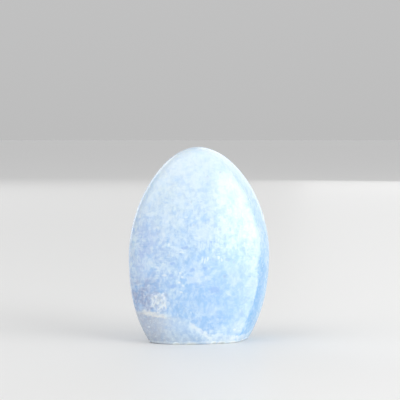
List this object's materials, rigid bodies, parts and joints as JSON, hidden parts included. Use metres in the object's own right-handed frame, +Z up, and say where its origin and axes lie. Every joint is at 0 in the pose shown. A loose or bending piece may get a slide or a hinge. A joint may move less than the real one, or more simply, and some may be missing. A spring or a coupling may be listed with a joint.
{
  "type": "polished blue calcite freeform",
  "caption": "Pale blue calcite ground and polished to a rounded, egg-like freeform with a broad front face, standing upright on its flat sawn foot.",
  "frame": {"origin": "in the plane of the sawn foot, midway between the stone's two sides and midway between its front and back", "axes": "+Z up through the crown, -Y out of the broad front face, +X to the right as the front is seen"},
  "size_m": [0.0724, 0.0495, 0.0999],
  "materials": {
    "blue_calcite": "hand-polished, satin gloss"
  },
  "bodies": {
    "root": {"blue_calcite": "blue_calcite"}
  },
  "joints": []
}
